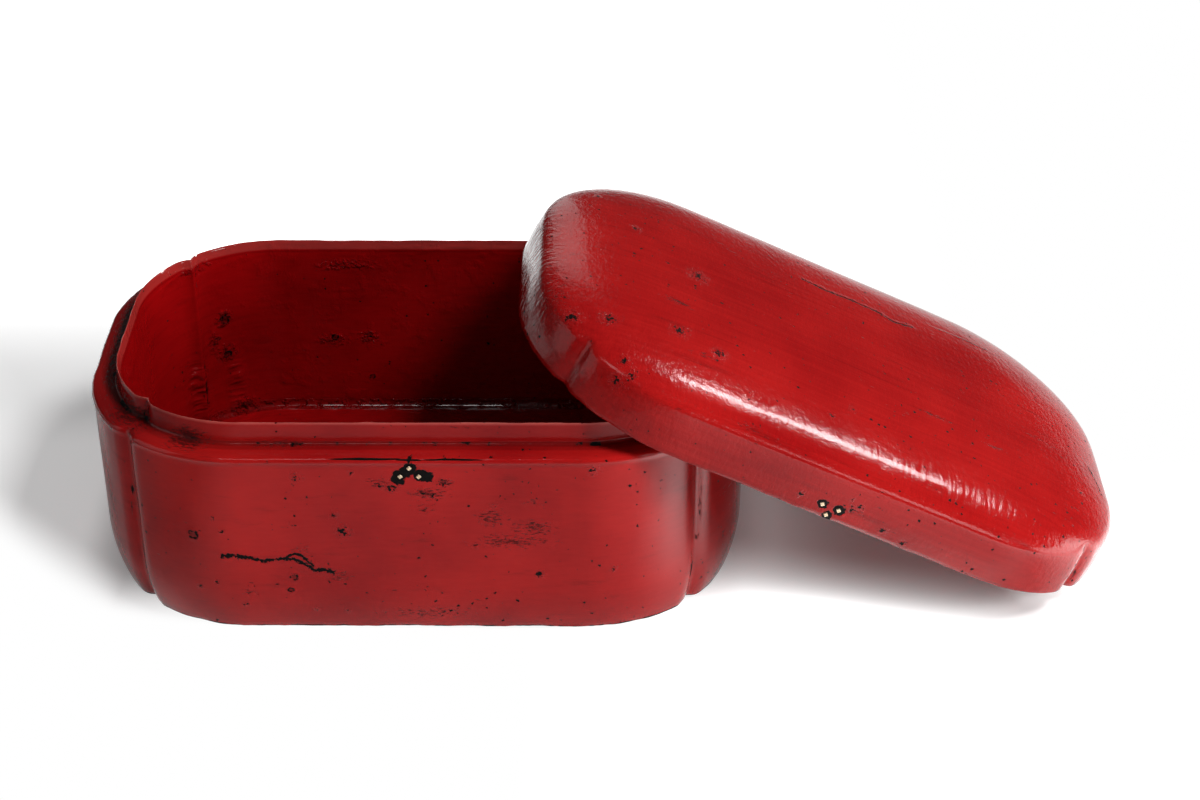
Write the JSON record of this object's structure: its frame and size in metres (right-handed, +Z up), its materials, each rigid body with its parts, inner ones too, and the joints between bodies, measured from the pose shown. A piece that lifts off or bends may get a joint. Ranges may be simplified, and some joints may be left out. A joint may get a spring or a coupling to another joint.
{
  "type": "lidded lacquer box",
  "caption": "Lacquered wooden box with rounded, grooved corners and a separate domed lid that fits over an inner lip. The lid is off and leans on the box's right end.",
  "frame": {"origin": "centre of the box's flat underside, on the table", "axes": "+X to the right along the front, towards the end where the lid leans; +Y to the back; +Z up"},
  "size_m": [0.5068, 0.2064, 0.1611],
  "materials": {
    "red_lacquer": "glossy cinnabar red lacquer over black ground lacquer on wood, brushed, worn through to black in places",
    "nail_brass": "pale worn brass"
  },
  "bodies": {
    "box": {"bottom_board": "red_lacquer", "body_front_wall": "red_lacquer", "body_back_wall": "red_lacquer", "body_left_wall": "red_lacquer", "body_right_wall": "red_lacquer", "lip_front": "red_lacquer", "lip_back": "red_lacquer", "lip_left": "red_lacquer", "lip_right": "red_lacquer", "body_pin_tip": "nail_brass", "body_pin_left": "nail_brass", "body_pin_right": "nail_brass"},
    "lid": {"lid_top_panel": "red_lacquer", "lid_front_skirt": "red_lacquer", "lid_back_skirt": "red_lacquer", "lid_left_skirt": "red_lacquer", "lid_right_skirt": "red_lacquer", "lid_pin_tip": "nail_brass", "lid_pin_left": "nail_brass", "lid_pin_right": "nail_brass"}
  },
  "joints": [
    {"name": "lid_lift", "type": "slide", "parent": "box", "child": "lid", "axis": [0, 0, 1], "range_m": [0, 0.15]}
  ]
}
